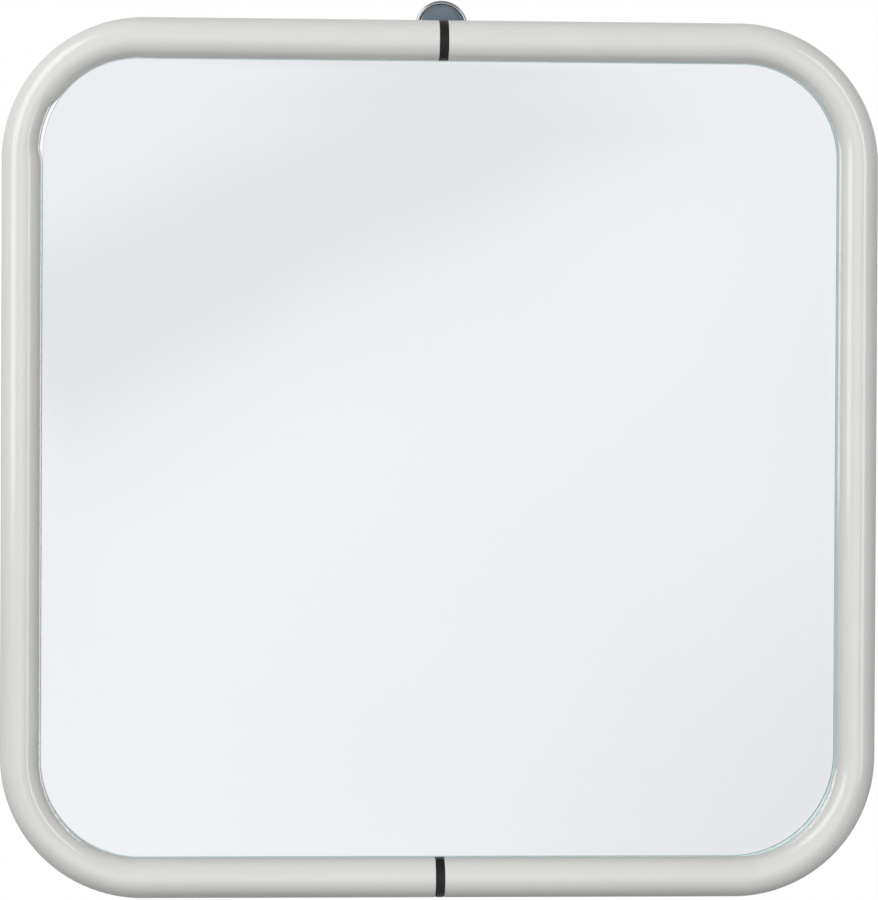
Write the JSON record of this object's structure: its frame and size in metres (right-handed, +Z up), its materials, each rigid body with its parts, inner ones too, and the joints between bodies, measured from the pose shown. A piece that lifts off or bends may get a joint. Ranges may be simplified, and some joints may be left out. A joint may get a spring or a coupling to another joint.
{
  "type": "wall mirror",
  "caption": "Flat bevelled wall mirror in a rounded-square frame of slotted round tube, in two halves on black joiners, with a ring hanger behind the top joint.",
  "frame": {"origin": "on the wall's surface, where the inside top of the hanger's ring bears on a wall hook", "axes": "+X to the viewer's right, +Y back into the wall, so the mirror faces -Y, +Z up"},
  "size_m": [0.48, 0.032, 0.4924],
  "materials": {
    "enamel": "glossy off-white stove enamel on steel tube",
    "black_plastic": "satin moulded black plastic",
    "mirror_glass": "polished silvered float glass with a ground and polished bevel",
    "hardboard": "brown hardboard, smooth face out",
    "white_plastic": "white extruded or moulded plastic",
    "blue_steel": "blue-grey passivated steel, satin",
    "zinc": "zinc-plated steel",
    "chrome": "grey nickel-chrome plate, polished",
    "rubber": "black moulded rubber"
  },
  "bodies": {
    "frame": {"tube_left": "enamel", "tube_right": "enamel", "joiner_top": "black_plastic", "joiner_bottom": "black_plastic", "mirror_glass": "mirror_glass", "backing_board": "hardboard", "bead_top": "white_plastic", "bead_right": "white_plastic", "bead_bottom": "white_plastic", "bead_left": "white_plastic", "packer_side_right": "white_plastic", "packer_side_left": "white_plastic", "packer_lower_right": "white_plastic", "packer_lower_left": "white_plastic", "hanger_saddle": "black_plastic", "hanger_plate": "blue_steel", "hanger_clip": "zinc", "hanger_rivet": "zinc", "hanger_screw_left": "zinc", "hanger_screw_right": "zinc", "joint_screw_left": "zinc", "joint_screw_right": "zinc", "bumper_left": "rubber", "bumper_right": "rubber"},
    "hanger_ring": {"hanger_ring": "chrome"}
  },
  "joints": [
    {"name": "ring_hinge", "type": "hinge", "parent": "frame", "child": "hanger_ring", "pos_m": [0, -0.00315, -0.0251], "axis": [-1, 0, 0], "range_deg": [0, 180]}
  ]
}
